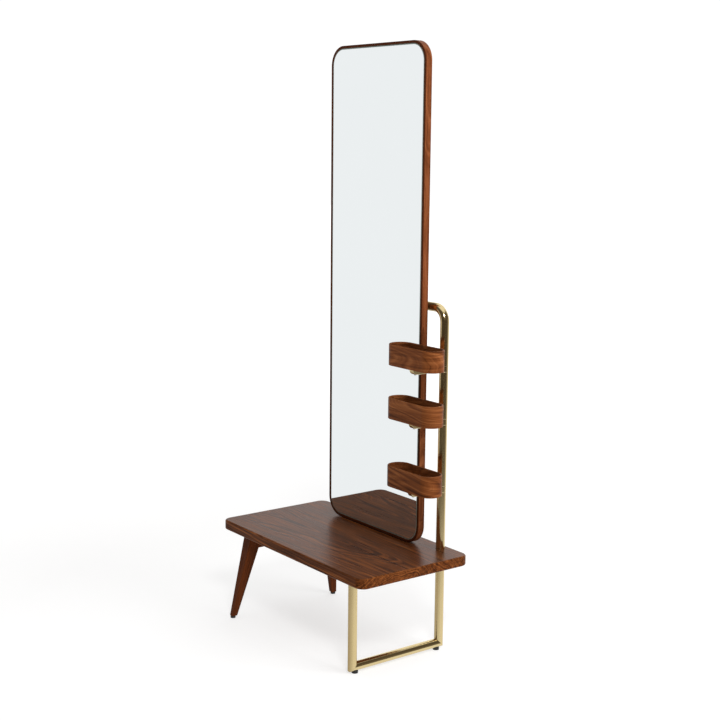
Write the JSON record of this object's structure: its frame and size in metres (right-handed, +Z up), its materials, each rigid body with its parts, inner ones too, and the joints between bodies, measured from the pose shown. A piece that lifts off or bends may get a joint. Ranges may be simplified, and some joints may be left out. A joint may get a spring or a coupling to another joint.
{
  "type": "salon styling station",
  "caption": "Low wooden bench with a tall standing mirror and a round brass pole that carries swinging oval trays and holds the mirror from behind.",
  "frame": {"origin": "on the floor under the middle of the bench top, within 4 mm of the bottom centre of the bounding box", "axes": "+X along the bench towards the end with the brass loop, +Y from the open front towards the mirror, +Z up; the mirror faces -Y"},
  "size_m": [0.785, 0.431, 1.886],
  "materials": {
    "walnut_top": "satin open-pored oil, grain along the bench",
    "walnut_leg": "satin oil, grain along each leg",
    "walnut_frame": "satin oil, grain along each member",
    "walnut_tray": "satin oil, bent veneer with dark streaks",
    "inner_wood": "raw board",
    "dark_panel": "stained thin panel",
    "dark_plate": "dark bronze lacquer",
    "brass_tube": "fine satin polish",
    "brass_bar": "fine satin polish",
    "steel": "plain zinc",
    "black_glide": "matt black",
    "black_pad": "matt black",
    "mirror_face": "silvered, bevelled edge"
  },
  "bodies": {
    "stand": {"bench_top": "walnut_top", "leg_front_left": "walnut_leg", "leg_back_left": "walnut_leg", "leg_rail": "walnut_leg", "leg_dowels": "inner_wood", "rail_screws": "steel", "foot_caps": "black_glide", "front_post": "brass_tube", "floor_rail": "brass_tube", "pole_lower": "brass_tube", "rail_glides": "black_glide", "post_flange": "brass_tube", "pole_flange": "brass_tube", "flange_screws": "steel", "pole_core": "steel", "core_pins": "steel", "pole_spacer_low": "brass_tube", "pole_spacer_high": "brass_tube", "pole_upper": "brass_tube", "thrust_washers": "brass_tube", "arm_plug": "brass_tube", "arm_saddles": "brass_tube", "arm_bolts": "steel", "cleat_inserts": "brass_tube", "frame_left": "walnut_frame", "frame_right": "walnut_frame", "frame_top": "walnut_frame", "frame_bottom": "walnut_frame", "mirror_glass": "mirror_face", "backing_lower": "inner_wood", "backing_upper": "inner_wood", "mirror_cleat": "inner_wood", "back_cover": "dark_panel", "cover_screws": "steel", "mirror_pad": "black_pad", "mirror_bolts": "steel", "mirror_washers": "steel", "frame_inserts": "brass_tube"},
    "tray_1": {"tray_1_hub": "brass_tube", "tray_1_bar": "brass_bar", "tray_1_plate": "dark_plate", "tray_1_band": "walnut_tray", "tray_1_base": "walnut_tray", "tray_1_screws": "steel", "tray_1_bolts": "steel"},
    "tray_2": {"tray_2_hub": "brass_tube", "tray_2_bar": "brass_bar", "tray_2_plate": "dark_plate", "tray_2_band": "walnut_tray", "tray_2_base": "walnut_tray", "tray_2_screws": "steel", "tray_2_bolts": "steel"},
    "tray_3": {"tray_3_hub": "brass_tube", "tray_3_bar": "brass_bar", "tray_3_plate": "dark_plate", "tray_3_band": "walnut_tray", "tray_3_base": "walnut_tray", "tray_3_screws": "steel", "tray_3_bolts": "steel"}
  },
  "joints": [
    {"name": "tray_1_swing", "type": "hinge", "parent": "stand", "child": "tray_1", "pos_m": [0.286, 0.178, 0.902], "axis": [0, 0, 1], "range_deg": [-14, 228]},
    {"name": "tray_2_swing", "type": "hinge", "parent": "stand", "child": "tray_2", "pos_m": [0.286, 0.178, 0.736], "axis": [0, 0, 1], "range_deg": [-14, 228]},
    {"name": "tray_3_swing", "type": "hinge", "parent": "stand", "child": "tray_3", "pos_m": [0.286, 0.178, 0.523], "axis": [0, 0, 1], "range_deg": [-14, 228]}
  ]
}
